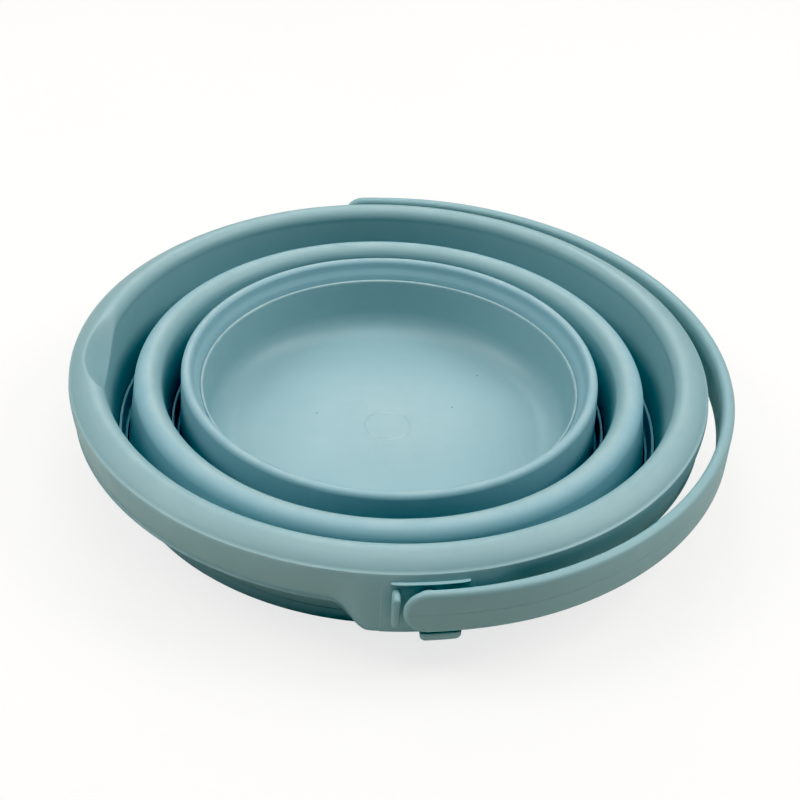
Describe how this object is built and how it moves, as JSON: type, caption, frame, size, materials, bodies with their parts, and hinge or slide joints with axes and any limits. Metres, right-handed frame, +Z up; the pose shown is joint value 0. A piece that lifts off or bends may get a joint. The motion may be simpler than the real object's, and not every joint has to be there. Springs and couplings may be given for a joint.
{
  "type": "collapsible tub",
  "caption": "Round collapsible tub folded flat, with a rolled rim, pouring lip, drop skirt with ears, soft folding sleeve, shallow bowl and a swinging half-ring handle.",
  "frame": {"origin": "on the axis of the rings, at the table, on the flat gate pad under the middle of the floor", "axes": "+Z up out of the tub, +X towards the middle of the folded handle with the pouring lip at -X, +Y along the handle's axis"},
  "size_m": [0.334, 0.3446, 0.0579],
  "materials": {
    "bowl_plastic": "satin, fine even grain",
    "band_plastic": "satin, fine even grain",
    "rim_plastic": "satin, fine even grain",
    "handle_plastic": "satin, fine even grain",
    "sleeve_rubber": "matte, soft thermoplastic rubber"
  },
  "bodies": {
    "base": {"base_bowl": "bowl_plastic", "base_collar": "sleeve_rubber", "inner_fold": "sleeve_rubber"},
    "middle_stage": {"middle_band": "band_plastic", "middle_bead": "sleeve_rubber", "outer_fold": "sleeve_rubber"},
    "rim": {"rim_frame": "rim_plastic", "rim_bead": "sleeve_rubber"},
    "handle": {"handle": "handle_plastic"}
  },
  "joints": [
    {"name": "lower_fold", "type": "slide", "parent": "base", "child": "middle_stage", "axis": [0, 0, 1], "range_m": [0, 0.0855], "deforming": ["inner_fold"]},
    {"name": "upper_fold", "type": "slide", "parent": "middle_stage", "child": "rim", "axis": [0, 0, 1], "range_m": [0, 0.084], "deforming": ["outer_fold"]},
    {"name": "handle_swing", "type": "hinge", "parent": "rim", "child": "handle", "pos_m": [0, 0, 0.0408], "axis": [0, -1, 0], "range_deg": [0, 103]}
  ]
}
